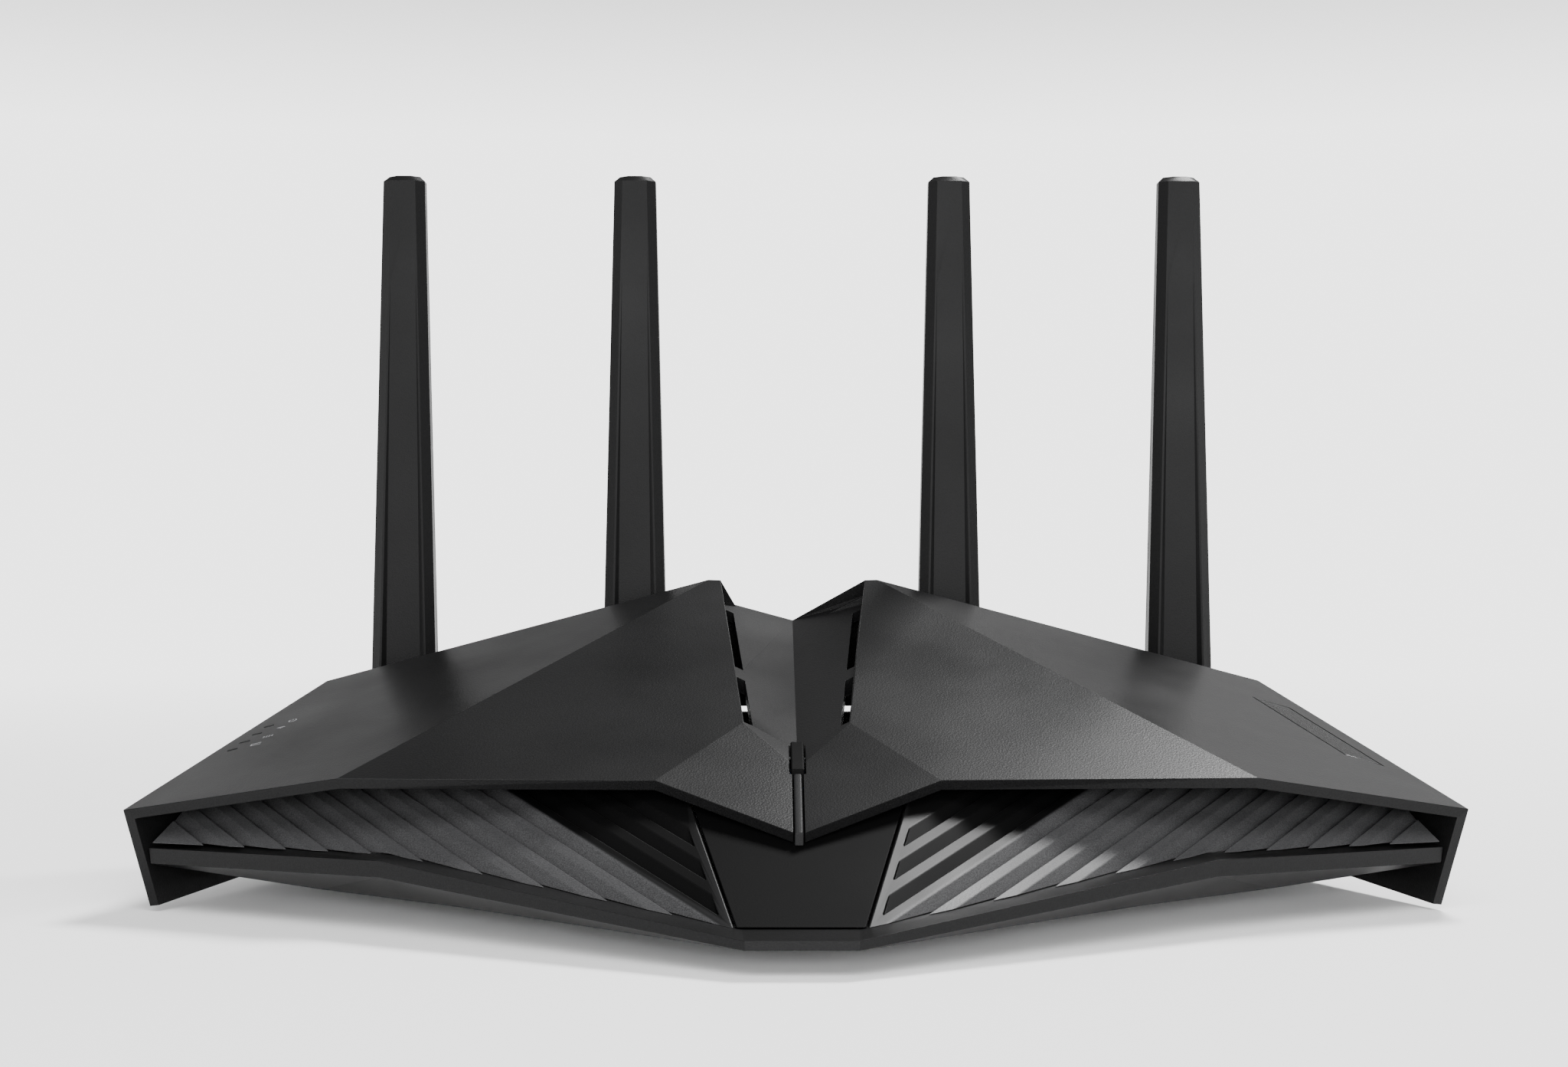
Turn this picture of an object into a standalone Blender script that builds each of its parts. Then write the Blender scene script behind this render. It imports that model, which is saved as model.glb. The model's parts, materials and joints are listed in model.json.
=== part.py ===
"""A desktop wireless router with a winged cover, a ribbed front and four folding antennas.

The origin is on the table under the middle of the overall box. +X runs to the right seen
from the front, +Y to the back and +Z up. Sizes are in millimetres here and the helper
functions scale them to metres.
"""

import math

import bmesh
import bpy
from mathutils import Matrix, Vector

MM = 0.001

# Overall sizes
OVERALL_WIDTH = 275.5
OVERALL_DEPTH = 184.4
OVERALL_HEIGHT = 165.3
HALF = OVERALL_WIDTH / 2
FRONT = -OVERALL_DEPTH / 2
BACK = OVERALL_DEPTH / 2

# Shell
WALL = 2.2
GAP = 0.3
REAR_OVERHANG = 22.2
REAR = BACK - REAR_OVERHANG
REAR_PEAK = 66.3
VALLEY_DROP = 9.9
CREASE_HALF = 91.2
BEAK_HALF = 28.4
NOTCH_HALF = 11.1

# Heights that stack up at the rear: board, sockets, antenna hinges, cover edge
BOARD_Z = 8.0
BOARD_THICKNESS = 1.6
BOARD_TOP = BOARD_Z + BOARD_THICKNESS + GAP
JACK_HEIGHT = 13.5
COLLAR_R = 6.5
HINGE_Z = BOARD_TOP + JACK_HEIGHT + COLLAR_R + 0.1
REAR_EDGE_HEIGHT = HINGE_Z + 6.0

# Cover corners, right half, from the beak round to the rear
BEAK_TIP = (0, FRONT + 39.4, 20.0)
BEAK_SIDE = (BEAK_HALF, FRONT + 55.2, 28.8)
CREASE_FRONT = (CREASE_HALF, FRONT + 55.4, 29.2)
CORNER_TOP = (HALF, FRONT + 71.4, 21.1)
NOTCH = (NOTCH_HALF, FRONT + 80.7, 38.1)
VALLEY_FRONT = (0, FRONT + 64.0, 30.3)
WING_INNER_REAR = (17.3, REAR - 5.1, REAR_PEAK - 0.1)
WING_PEAK = (20.2, REAR - 4.9, REAR_PEAK)
WING_OUTER_REAR = (HALF - 27.85, REAR - 15.0, 42.7)
VALLEY_SIDE_REAR = (16.6, REAR - 3.2, REAR_PEAK - 5.3)
VALLEY_REAR = (0, REAR, REAR_PEAK - VALLEY_DROP)
LEG_FRONT = (HALF - 4.55, FRONT + 75.1, 0.9)
LEG_REAR = (HALF - 33.35, REAR - 15.0, 6.1)
REAR_CORNER_LOW = (HALF - 33.5, REAR, 6.1)
REAR_CORNER_TOP = (HALF - 31.0, REAR, REAR_EDGE_HEIGHT)
REAR_EDGE_TOP = (20.2, REAR, REAR_EDGE_HEIGHT)
REAR_EDGE_MIDDLE = (0, REAR, REAR_EDGE_HEIGHT)

# Vent slots beside the valley
VENT_WIDTH = 1.8
VENT_BRIDGE = 6.6
VENT_REAR_MARGIN = 6.6
VENT_SPLIT = FRONT + 107.2
VENT_CUT_BELOW = 2 * WALL + 1.85
VENT_CUT_ABOVE = 1.5

# Bottom case
FLOOR_LOW = 4.5
FLOOR_TOP = 6.0
LIP_HALF = 10.1
BEND_X = 81.1
BEND_Y = FRONT + 44.4
LIP_END_X = HALF - 5.3
LIP_END_Y = FRONT + 72.7

# Ribbed fascia
FASCIA_START = (12.2, FRONT + 13.4, 6.4)
FASCIA_BEND = (81.0, FRONT + 53.8, 14.4)
FASCIA_RISE = (18.0, FRONT + 49.4, 22.5)
FASCIA_DEPTH = 4.8
FASCIA_LOW_CLEARANCE = 2.77
FASCIA_TOP_CLEARANCE = 4.02
FASCIA_UNDER_COVER = 1.55
FASCIA_CORNER = (12.6, 88.3)
RIB_PITCH = 9.0
RIB_FIRST = 6.3
RIB_COUNT = 13
RIB_LEVEL = 12.0
RIB_HEADING = (0.612, 0.751)
CHANNEL_WIDTH = 3.1
CHANNEL_DEPTH = 1.3
BORDER = 1.8
PANEL_REACH = 56.0
PANEL_UNDER_COVER = 0.2

# Light strip and its cap
STRIP_WIDTH = 1.7
STRIP_PROUD = 0.35
STRIP_FRONT_INSET = 0.2
CAP_WIDTH = 2.7
CAP_LENGTH = 13.4

# Status lights, left wing
LED_COUNT = 4
LED_PITCH = 4.65
LED_SIDE_MARGIN = 13.55
LED_FIRST = (LED_SIDE_MARGIN + WALL - HALF, FRONT + 100.9)
LED_LENGTH = 2.2
LED_WIDTH = 0.9

# Plaque, right wing
BADGE_START = 24.0
BADGE_LENGTH = 38.0
BADGE_INSET = 5.0
BADGE_WIDTH = 6.4
BADGE_SLANT = 5.0

# Rear panel and sockets
PANEL_HALF = HALF - 36.4
PANEL_BACK = REAR - 0.6
PANEL_THICKNESS = 2.0
PANEL_TOP = REAR_EDGE_HEIGHT - 1.6
PANEL_LOW = 5.2
TONGUE_HALF = 24.0
TONGUE_THICKNESS = 1.2
TONGUE_RISE = 1.6
TONGUE_ROOT = 4.0
TONGUE_CLEARANCE = 0.2
JACK_WIDTH = 16.0
SOCKET_WIDTH = 11.8
SOCKET_HEIGHT = 8.2
SOCKET_DEPTH = 14.0
LAN_PITCH = 14.4
LAN_COUNT = 4
LAN_LEFT = -66.0
WAN_X = 6.0
USB_X = 25.5
WPS_X = 46.5
RESET_X = 56.0
POWER_X = 66.0
DC_X = 78.5
BUTTON_Z = 17.0
# name: (x, cap radius, how far it stands out of the panel, travel)
BUTTONS = {
    "wps_button": (WPS_X, 2.6, 1.4, 0.6),
    "reset_button": (RESET_X, 1.2, -0.6, 0.5),
    "power_button": (POWER_X, 4.0, 3.2, 2.0),
}
BUTTON_CLEARANCE = 0.35
BUTTON_BODY = 5.0

# Antennas
ANTENNA_END_MARGIN = 5.85
ANTENNA_OUTER_X = PANEL_HALF - ANTENNA_END_MARGIN
ANTENNA_INNER_X = 38.7
KNUCKLE_R = 7.0
HINGE_Y = BACK - KNUCKLE_R
BLADE_ROOT_HALF = 8.0
BLADE_TIP_HALF = 5.05
BLADE_FRONT_OFFSET = 7.8
BLADE_THICKNESS = 8.4
BLADE_CHAMFER = 2.1
TIP_CHAMFER = 1.3
COLLAR_START = 0.4
COLLAR_CLEARANCE = 2.6
COLLAR_LENGTH = REAR_OVERHANG - 2 * KNUCKLE_R - COLLAR_START - COLLAR_CLEARANCE
STUB_R = 3.1
STUB_CLEARANCE = 0.4
TONGUE_HALF = 3.3
EAR_GAP = 0.5
PIN_R = 1.5
PIN_CLEARANCE = 0.2
BACK_PLATE = 1.6
BACK_PLATE_LOW = HINGE_Z + KNUCKLE_R + 8.0
RECESS_TOP = OVERALL_HEIGHT - 26.6
RECESS_DEPTH = 1.0

# Circuit board and what stands on it
BOARD_HALF = 80.0
BOARD_FRONT = FRONT + 76.2
BOARD_BACK = REAR - 3.6

JACK_FACE = REAR - 0.2
JACK_LENGTH = 21.3
JACK_BACK = JACK_FACE - JACK_LENGTH
HEATSINK_FRONT = BOARD_FRONT + 6.0
HEATSINK_BACK = JACK_BACK - 14.5
SHIELD_BACK = JACK_BACK - 24.5
FIN_COUNT = 9
FIN_PITCH = 7.0
FIN_THICKNESS = 1.6
FIN_HEIGHT = 11.0

# Feet
FOOT_R = 6.0
FOOT_HEIGHT = FLOOR_LOW - GAP
FOOT_FRONT = (22.0, FRONT + 47.2)
FOOT_REAR = (74.0, REAR - 24.0)

# Case screws
SCREW_R = 1.5
SCREW_HEAD_R = 2.8
SCREWS = (
    (-48.0, FRONT + 56.2),
    (48.0, FRONT + 56.2),
    (-50.0, REAR - 14.0),
    (50.0, REAR - 14.0),
)

# Finishes: colour, roughness, metallic
BLACK_SHELL = ((0.030, 0.030, 0.032), 0.55, 0.0)
DARK_PANEL = ((0.012, 0.012, 0.013), 0.45, 0.0)
GREY_LIGHT = ((0.32, 0.32, 0.33), 0.35, 0.0)
CLEAR_PIPE = ((0.60, 0.61, 0.62), 0.25, 0.0)
GLOSS_BLACK = ((0.008, 0.008, 0.008), 0.12, 0.0)
BOARD_GREEN = ((0.02, 0.10, 0.05), 0.45, 0.0)
CHIP = ((0.02, 0.02, 0.02), 0.50, 0.0)
STEEL = ((0.55, 0.55, 0.56), 0.32, 1.0)
ALUMINIUM = ((0.62, 0.63, 0.64), 0.38, 1.0)
PAD_BLUE = ((0.20, 0.32, 0.50), 0.80, 0.0)
RUBBER = ((0.020, 0.020, 0.020), 0.90, 0.0)
YELLOW_JACK = ((0.60, 0.42, 0.03), 0.45, 0.0)
BLUE_JACK = ((0.03, 0.12, 0.50), 0.45, 0.0)


def start_scene():
    """Empties the scene and makes one collection for the pieces and one for the cutters."""
    for obj in list(bpy.data.objects):
        bpy.data.objects.remove(obj, do_unlink=True)
    found = []
    for name in ("wireless_router", "cutters"):
        group = bpy.data.collections.new(name)
        bpy.context.scene.collection.children.link(group)
        found.append(group)
    return found


PARTS, CUTTERS = start_scene()


# ---------------------------------------------------------------- shapes


def to_mesh(bm, name):
    """The finished mesh, turned right side out if its faces point inwards."""
    if bm.calc_volume(signed=True) < 0:
        bmesh.ops.reverse_faces(bm, faces=bm.faces)
    mesh = bpy.data.meshes.new(name)
    bm.to_mesh(mesh)
    bm.free()
    return mesh


def material_for(name, finish):
    colour, roughness, metallic = finish
    material = bpy.data.materials.new(name)
    material.use_nodes = True
    shader = material.node_tree.nodes["Principled BSDF"]
    shader.inputs["Base Color"].default_value = (*colour, 1)
    shader.inputs["Roughness"].default_value = roughness
    shader.inputs["Metallic"].default_value = metallic
    return material


def piece(name, bm, finish, origin=(0, 0, 0)):
    """An object for one piece. Its origin goes to the given point, such as a joint's axis."""
    centre = Vector(origin) * MM
    bmesh.ops.translate(bm, verts=bm.verts, vec=-centre)
    obj = bpy.data.objects.new(name, to_mesh(bm, name))
    obj.location = centre
    obj.data.materials.append(material_for(name, finish))
    PARTS.objects.link(obj)
    return obj


def helper(bm, name, parent):
    """A hidden object that a Boolean uses, placed in the frame of the piece that it shapes."""
    bmesh.ops.translate(bm, verts=bm.verts, vec=-parent.location)
    obj = bpy.data.objects.new(name, to_mesh(bm, name))
    obj.location = parent.location
    obj.hide_render = True
    obj.display_type = "WIRE"
    CUTTERS.objects.link(obj)
    return obj


def boolean(target, bm, operation, solver="EXACT"):
    name = f"{target.name}_{operation.lower()}_{len(target.modifiers)}"
    modifier = target.modifiers.new(name, "BOOLEAN")
    modifier.operation = operation
    modifier.solver = solver
    modifier.object = helper(bm, name, target)


def cut(target, bm, solver="EXACT"):
    boolean(target, bm, "DIFFERENCE", solver)


def fuse(target, bm):
    boolean(target, bm, "UNION")


def box(low, high):
    """A block between two corners."""
    bm = bmesh.new()
    bmesh.ops.create_cube(bm, size=1)
    size = [b - a for a, b in zip(low, high)]
    middle = [(a + b) / 2 for a, b in zip(low, high)]
    bmesh.ops.scale(bm, verts=bm.verts, vec=Vector(size) * MM)
    bmesh.ops.translate(bm, verts=bm.verts, vec=Vector(middle) * MM)
    return bm


def cylinder(start, end, radius, sides=24, end_radius=None):
    """A round bar, or a cone, between two points."""
    start = Vector(start) * MM
    end = Vector(end) * MM
    along = end - start
    bm = bmesh.new()
    bmesh.ops.create_cone(
        bm,
        cap_ends=True,
        segments=sides,
        radius1=radius * MM,
        radius2=(radius if end_radius is None else end_radius) * MM,
        depth=along.length,
    )
    turn = Vector((0, 0, 1)).rotation_difference(along).to_matrix().to_4x4()
    place = Matrix.Translation((start + end) / 2) @ turn
    bmesh.ops.transform(bm, matrix=place, verts=bm.verts)
    return bm


def hull(points):
    """The convex solid around some points."""
    bm = bmesh.new()
    for point in points:
        bm.verts.new(Vector(point) * MM)
    bmesh.ops.convex_hull(bm, input=bm.verts)
    loose = [vert for vert in bm.verts if not vert.link_faces]
    bmesh.ops.delete(bm, geom=loose, context="VERTS")
    bmesh.ops.recalc_face_normals(bm, faces=bm.faces)
    return bm


def loft(loops):
    """A solid through closed loops of equal length, with flat ends."""
    bm = bmesh.new()
    rows = [[bm.verts.new(Vector(point) * MM) for point in loop] for loop in loops]
    for low, high in zip(rows, rows[1:]):
        for i in range(len(low)):
            j = (i + 1) % len(low)
            bm.faces.new((low[i], low[j], high[j], high[i]))
    bm.faces.new(reversed(rows[0]))
    bm.faces.new(rows[-1])
    bmesh.ops.triangulate(bm, faces=bm.faces, ngon_method="EAR_CLIP")
    return bm


def merged(*parts):
    """Several solids in one mesh, for cutters that don't touch one another."""
    whole = bmesh.new()
    for part in parts:
        mesh = to_mesh(part, "merged")
        whole.from_mesh(mesh)
        bpy.data.meshes.remove(mesh)
    return whole


def mirrored(point, side):
    return (point[0] * side, point[1], point[2])


def between(a, b, share):
    return tuple(p + (q - p) * share for p, q in zip(a, b))


def plane_through(a, b, c):
    """(k, kx, ky) of the plane z = k + kx x + ky y through three points."""
    a, b, c = Vector(a), Vector(b), Vector(c)
    normal = (b - a).cross(c - a)
    kx = -normal.x / normal.z
    ky = -normal.y / normal.z
    return a.z - kx * a.x - ky * a.y, kx, ky


def height(plane, x, y):
    return plane[0] + plane[1] * x + plane[2] * y


def depth_at(plane, x, z):
    """The y at which the plane reaches a height."""
    return (z - plane[0] - plane[1] * x) / plane[2]


INNER_FACET = plane_through(CREASE_FRONT, BEAK_SIDE, WING_PEAK)
OUTER_FACET = plane_through(CREASE_FRONT, CORNER_TOP, WING_OUTER_REAR)
VALLEY_FACET = plane_through(VALLEY_FRONT, NOTCH, VALLEY_REAR)
BEAK_FACET = plane_through(BEAK_TIP, BEAK_SIDE, VALLEY_FRONT)
FASCIA = plane_through(FASCIA_START, FASCIA_BEND, FASCIA_RISE)


# ---------------------------------------------------------------- enclosure


def cover_faces():
    """The outer facets of the right half, each listed anticlockwise seen from outside."""
    return [
        (BEAK_TIP, BEAK_SIDE, NOTCH, VALLEY_FRONT),
        (VALLEY_FRONT, NOTCH, VALLEY_SIDE_REAR, VALLEY_REAR),
        (NOTCH, WING_INNER_REAR, VALLEY_SIDE_REAR),
        (NOTCH, BEAK_SIDE, CREASE_FRONT, WING_PEAK, WING_INNER_REAR),
        (CREASE_FRONT, CORNER_TOP, WING_OUTER_REAR, WING_PEAK),
        (CORNER_TOP, LEG_FRONT, LEG_REAR, WING_OUTER_REAR),
        (WING_OUTER_REAR, LEG_REAR, REAR_CORNER_LOW, REAR_CORNER_TOP),
        (WING_OUTER_REAR, REAR_CORNER_TOP, REAR_EDGE_TOP, WING_PEAK),
        (
            WING_PEAK,
            REAR_EDGE_TOP,
            REAR_EDGE_MIDDLE,
            VALLEY_REAR,
            VALLEY_SIDE_REAR,
            WING_INNER_REAR,
        ),
    ]


def cover_surface():
    bm = bmesh.new()
    known = {}

    def vert(point):
        key = tuple(round(value, 4) for value in point)
        if key not in known:
            known[key] = bm.verts.new(Vector(point) * MM)
        return known[key]

    for face in cover_faces():
        bm.faces.new([vert(point) for point in face])
        bm.faces.new([vert(mirrored(point, -1)) for point in reversed(face)])
    bmesh.ops.triangulate(bm, faces=bm.faces, ngon_method="EAR_CLIP")
    mesh = bpy.data.meshes.new("top_cover")
    bm.to_mesh(mesh)
    bm.free()
    return mesh


def vent_cutters(side):
    """Two slots beside the valley, with a bridge between them."""
    edge = [NOTCH, VALLEY_SIDE_REAR]
    found = []
    rear_end = VALLEY_SIDE_REAR[1] - VENT_REAR_MARGIN
    spans = (
        (NOTCH[1], VENT_SPLIT),
        (VENT_SPLIT + VENT_BRIDGE, rear_end),
    )
    for start, end in spans:
        points = []
        for y in (start, end):
            share = (y - edge[0][1]) / (edge[1][1] - edge[0][1])
            x, _, z = between(edge[0], edge[1], share)
            for inset, back in ((0.1, 0.8), (VENT_WIDTH + 0.1, 0.0)):
                for rise in (-VENT_CUT_BELOW, VENT_CUT_ABOVE):
                    points.append((side * (x - inset), y + back, z + rise))
        found.append(hull(points))
    return found


def led_places():
    """Centres of the status lights on the left wing's outer facet."""
    start = Vector(CORNER_TOP)
    end = Vector(WING_OUTER_REAR)
    heading = (end - start) / (end.y - start.y)
    for i in range(LED_COUNT):
        y = LED_FIRST[1] + i * LED_PITCH
        x = LED_FIRST[0] - heading.x * i * LED_PITCH
        yield x, y, height(OUTER_FACET, -x, y)


def badge_block(low, high, grow):
    """A slanted plaque beside the right wing's outer edge, between two depths below the facet."""
    start = Vector(CORNER_TOP)
    end = Vector(WING_OUTER_REAR)
    along = (end - start).normalized()
    normal = Vector((-OUTER_FACET[1], -OUTER_FACET[2], 1)).normalized()
    across = normal.cross(along)
    first = BADGE_START - grow
    last = BADGE_START + BADGE_LENGTH + grow
    near = BADGE_INSET - grow
    far = BADGE_INSET + BADGE_WIDTH + grow
    points = []
    for a, b in ((first, near), (last, near), (last + BADGE_SLANT, far), (first + BADGE_SLANT, far)):
        for depth in (low, high):
            points.append(start + along * a + across * b + normal * depth)
    return hull(points)


def make_cover():
    obj = bpy.data.objects.new("top_cover", cover_surface())
    obj.data.materials.append(material_for("top_cover", BLACK_SHELL))
    PARTS.objects.link(obj)
    thickness = obj.modifiers.new("wall", "SOLIDIFY")
    thickness.thickness = WALL * MM
    thickness.offset = -1
    thickness.use_even_offset = True
    cut(obj, merged(*vent_cutters(1), *vent_cutters(-1)))
    half = STRIP_WIDTH / 2 + GAP
    tip = BEAK_TIP[1]
    cap_front = VALLEY_FRONT[1] - 2.4
    cap_back = cap_front + CAP_LENGTH + 2 * GAP
    cut(obj, box((-half, tip - 5, 5), (half, cap_front + 1, 45)))
    half = CAP_WIDTH / 2 + GAP
    cut(obj, box((-half, cap_front, 15), (half, cap_back, 45)))
    slits = []
    for x, y, z in led_places():
        low = (x - LED_LENGTH / 2, y - LED_WIDTH / 2, z - 4)
        slits.append(box(low, (x + LED_LENGTH / 2, y + LED_WIDTH / 2, z + 4)))
    cut(obj, merged(*slits))
    cut(obj, badge_block(-0.8, 1.0, GAP))
    return obj


def make_badge():
    piece("badge_inlay", badge_block(-0.5, 0.0, 0.0), GLOSS_BLACK)


def ring(half):
    """A closed loop from the right half's points, front to rear, and their mirror images."""
    return list(half) + [mirrored(point, -1) for point in reversed(half)]


def make_bottom():
    floor = ring([
        (8, FRONT + 5, FLOOR_LOW),
        (66, FRONT + 50, FLOOR_LOW),
        (HALF - 39.7, FRONT + 74, FLOOR_LOW),
        (HALF - 47.7, REAR - 18, FLOOR_LOW),
        (HALF - 53.7, REAR - 6, FLOOR_LOW),
        (20, REAR - 6, FLOOR_LOW),
    ])
    lip_low = ring([
        (LIP_HALF, FRONT, 4.7),
        (BEND_X, BEND_Y, 11.2),
        (LIP_END_X, LIP_END_Y, 10.0),
        (HALF - 37.6, REAR - 15.5, 8.2),
        (HALF - 43.0, REAR - 3.4, 6.0),
        (20, REAR - 3.4, 5.6),
    ])
    lip_top = ring([
        (LIP_HALF, FRONT, 6.4),
        (BEND_X, BEND_Y, 14.4),
        (LIP_END_X + 0.4, LIP_END_Y, 13.2),
        (HALF - 37.0, REAR - 15.5, 13.2),
        (HALF - 42.6, REAR - 3.4, 7.2),
        (20, REAR - 3.4, 7.2),
    ])
    ledge = ring([
        (11, FRONT + 19.5, FASCIA_START[2] - GAP),
        (79, FRONT + 61, FASCIA_BEND[2] - GAP),
        (HALF - 16, FRONT + 79, FASCIA_BEND[2] - GAP),
        (HALF - 42, REAR - 18, 13.2),
        (HALF - 49, REAR - 7, 7.2),
        (20, REAR - 5.2, 7.2),
    ])
    inside = ring([
        (10, FRONT + 22, FLOOR_TOP),
        (64, FRONT + 66, FLOOR_TOP),
        (HALF - 38, FRONT + 84, FLOOR_TOP),
        (HALF - 49, REAR - 20, FLOOR_TOP),
        (HALF - 53, REAR - 8, FLOOR_TOP),
        (20, REAR - 6.4, FLOOR_TOP),
    ])
    obj = piece("bottom_case", loft([floor, lip_low, lip_top, ledge, inside]), BLACK_SHELL)
    wells = []
    for x, y in SCREWS:
        low = (x, y, FLOOR_LOW - 1)
        wells.append(cylinder(low, (x, y, FLOOR_TOP + 1), SCREW_R + GAP, 16))
    cut(obj, merged(*wells))


def make_screws():
    names = ("front_left", "front_right", "rear_left", "rear_right")
    for name, (x, y) in zip(names, SCREWS):
        head_low = FLOOR_LOW - GAP - 1.2
        head = cylinder((x, y, head_low), (x, y, FLOOR_LOW - GAP), SCREW_HEAD_R, 16)
        obj = piece(f"case_screw_{name}", head, STEEL)
        fuse(obj, cylinder((x, y, head_low + 0.6), (x, y, BOARD_Z - GAP), SCREW_R, 12))
        cut(obj, box((x - 1.6, y - 0.35, head_low - 1), (x + 1.6, y + 0.35, head_low + 0.5)))


def make_feet():
    places = {
        "front_left": (-FOOT_FRONT[0], FOOT_FRONT[1]),
        "front_right": FOOT_FRONT,
        "rear_left": (-FOOT_REAR[0], FOOT_REAR[1]),
        "rear_right": FOOT_REAR,
    }
    for name, (x, y) in places.items():
        low = cylinder((x, y, 0), (x, y, FOOT_HEIGHT), FOOT_R - 0.6, 24, FOOT_R)
        piece(f"rubber_foot_{name}", low, RUBBER)


def fascia_point(x, y):
    return (x, y, height(FASCIA, x, y))


def fascia_beside_wall(level, clearance):
    """The point of the fascia's plane, at some height, that is this far inside the cover's side."""
    along = (LEG_REAR[0] - LEG_FRONT[0]) / (LEG_REAR[1] - LEG_FRONT[1])
    foot_y = CORNER_TOP[1]
    foot_x = LEG_FRONT[0] + along * (foot_y - LEG_FRONT[1])
    lean = (CORNER_TOP[0] - foot_x) / (CORNER_TOP[2] - LEG_FRONT[2])
    edge = foot_x + lean * (level - LEG_FRONT[2]) - WALL - clearance
    start = edge - along * foot_y
    y = (level - FASCIA[0] - FASCIA[1] * start) / (FASCIA[2] + FASCIA[1] * along)
    return (start + along * y, y, level)


def fascia_outline():
    """Corners of the right ribbed panel on its own plane."""
    inset, setback = FASCIA_CORNER
    wall_drop = WALL * math.hypot(1, OUTER_FACET[1], OUTER_FACET[2])
    corner_top = height(OUTER_FACET, HALF - inset, FRONT + setback) - wall_drop - FASCIA_UNDER_COVER
    return [
        FASCIA_START,
        FASCIA_BEND,
        fascia_beside_wall(FASCIA_BEND[2], FASCIA_LOW_CLEARANCE),
        fascia_beside_wall(corner_top, FASCIA_TOP_CLEARANCE),
        (CREASE_HALF, depth_at(FASCIA, CREASE_HALF, 27.0), 27.0),
        (30.0, depth_at(FASCIA, 30.0, 27.0), 27.0),
        fascia_point(21.9, FRONT + PANEL_REACH),
    ]


def channel_cutters(side):
    """Wedge-shaped channels, deepest along their lower edge."""
    normal = Vector((-FASCIA[1], -FASCIA[2], 1)).normalized()
    run = Vector((*RIB_HEADING, FASCIA[1] * RIB_HEADING[0] + FASCIA[2] * RIB_HEADING[1]))
    run.normalize()
    across = normal.cross(run)
    outline = fascia_outline()
    edge_start = Vector(outline[0]) + Vector((BORDER, 0, 0))
    edge_run = Vector(outline[-1]) - Vector(outline[0])
    found = []
    for i in range(RIB_COUNT):
        x = RIB_FIRST + i * RIB_PITCH
        base = Vector((x, depth_at(FASCIA, x, RIB_LEVEL), RIB_LEVEL))
        points = []
        # The sloping floor runs on past the face, so that it meets the face cleanly
        past = 0.3
        past_rise = CHANNEL_DEPTH * past / CHANNEL_WIDTH
        for offset, depth in ((0, CHANNEL_DEPTH), (CHANNEL_WIDTH + past, -past_rise)):
            here = base + across * offset
            # Where this line meets the border beside the centre panel, seen from above
            gap = edge_start - here
            spread = run.x * edge_run.y - run.y * edge_run.x
            start = (gap.x * edge_run.y - gap.y * edge_run.x) / spread
            stop = (34 - here.z) / run.z
            for reach in (start, stop):
                spot = here + run * reach
                for rise in (-depth, 1.5):
                    points.append(mirrored(spot + normal * rise, side))
        found.append(hull(points))
    return found


def make_fascia():
    shift = Vector((0, FASCIA_DEPTH, 0))
    for name, side in (("left", -1), ("right", 1)):
        face = [Vector(mirrored(point, side)) for point in fascia_outline()]
        obj = piece(
            f"ribbed_fascia_{name}",
            loft([face, [point + shift for point in face]]),
            BLACK_SHELL,
        )
        # The exact solver drops the whole panel at some sizes, though every mesh is closed
        cut(obj, merged(*channel_cutters(side)), "MANIFOLD")
    low = FASCIA_START[2] + 0.1
    y_low = FASCIA_START[1]
    y_top = FRONT + PANEL_REACH
    wall_drop = WALL * math.hypot(1, BEAK_FACET[1], BEAK_FACET[2])
    z_top = height(BEAK_FACET, 0, y_top) - wall_drop - PANEL_UNDER_COVER
    inset = GAP + 0.1
    # The fascia's inner edge, followed up to the panel's top
    edge_top = fascia_outline()[-1]
    climb = (z_top - FASCIA_START[2]) / (edge_top[2] - FASCIA_START[2])
    x_low = FASCIA_START[0] - inset
    x_top = FASCIA_START[0] + (edge_top[0] - FASCIA_START[0]) * climb - inset
    face = [
        (-x_low, y_low, low),
        (x_low, y_low, low),
        (x_top, y_top, z_top),
        (-x_top, y_top, z_top),
    ]
    rear = [(x, y + FASCIA_DEPTH, z) for x, y, z in face]
    piece("centre_panel", loft([face, rear]), DARK_PANEL)


def make_light_strip():
    half = STRIP_WIDTH / 2
    front_y = BEAK_TIP[1] + STRIP_FRONT_INSET
    back_y = VALLEY_FRONT[1] - 2.4 - GAP
    points = []
    for y in (front_y, back_y):
        z = height(BEAK_FACET, 0, y)
        for x in (-half, half):
            points.append((x, y, z - 2.3))
            points.append((x, y, z + STRIP_PROUD * 0.4))
            points.append((x * 0.55, y, z + STRIP_PROUD))
    piece("light_strip", hull(points), GREY_LIGHT)
    half = CAP_WIDTH / 2
    start = VALLEY_FRONT[1] - 2.4 + GAP
    end = start + CAP_LENGTH
    points = []
    for y, rise in ((start, 0.5), (start + 3.0, 1.4), (end, 1.4)):
        z = height(VALLEY_FACET, 0, y)
        for x in (-half, half):
            points.append((x, y, z + rise))
            points.append((x, y, z - 3.0))
    piece("light_strip_cap", hull(points), DARK_PANEL)


def make_light_pipe():
    """The clear moulding behind the status lights: a bar with one prong for each slit."""
    places = list(led_places())
    drop = 5.0
    first = places[0]
    last = places[-1]
    points = []
    for x, y, z in (first, last):
        back = -2.0 if y == first[1] else 2.0
        for dx in (-0.8, 0.8):
            for dz in (-drop - 1.6, -drop):
                points.append((x + dx, y + back, z + dz))
    obj = piece("status_light_pipe", hull(points), CLEAR_PIPE)
    for x, y, z in places:
        low = (x - LED_LENGTH / 2 + GAP, y - 0.2, z - drop - 0.8)
        fuse(obj, box(low, (x + LED_LENGTH / 2 - GAP, y + 0.2, z - 0.45)))


# ---------------------------------------------------------------- inside


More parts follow.
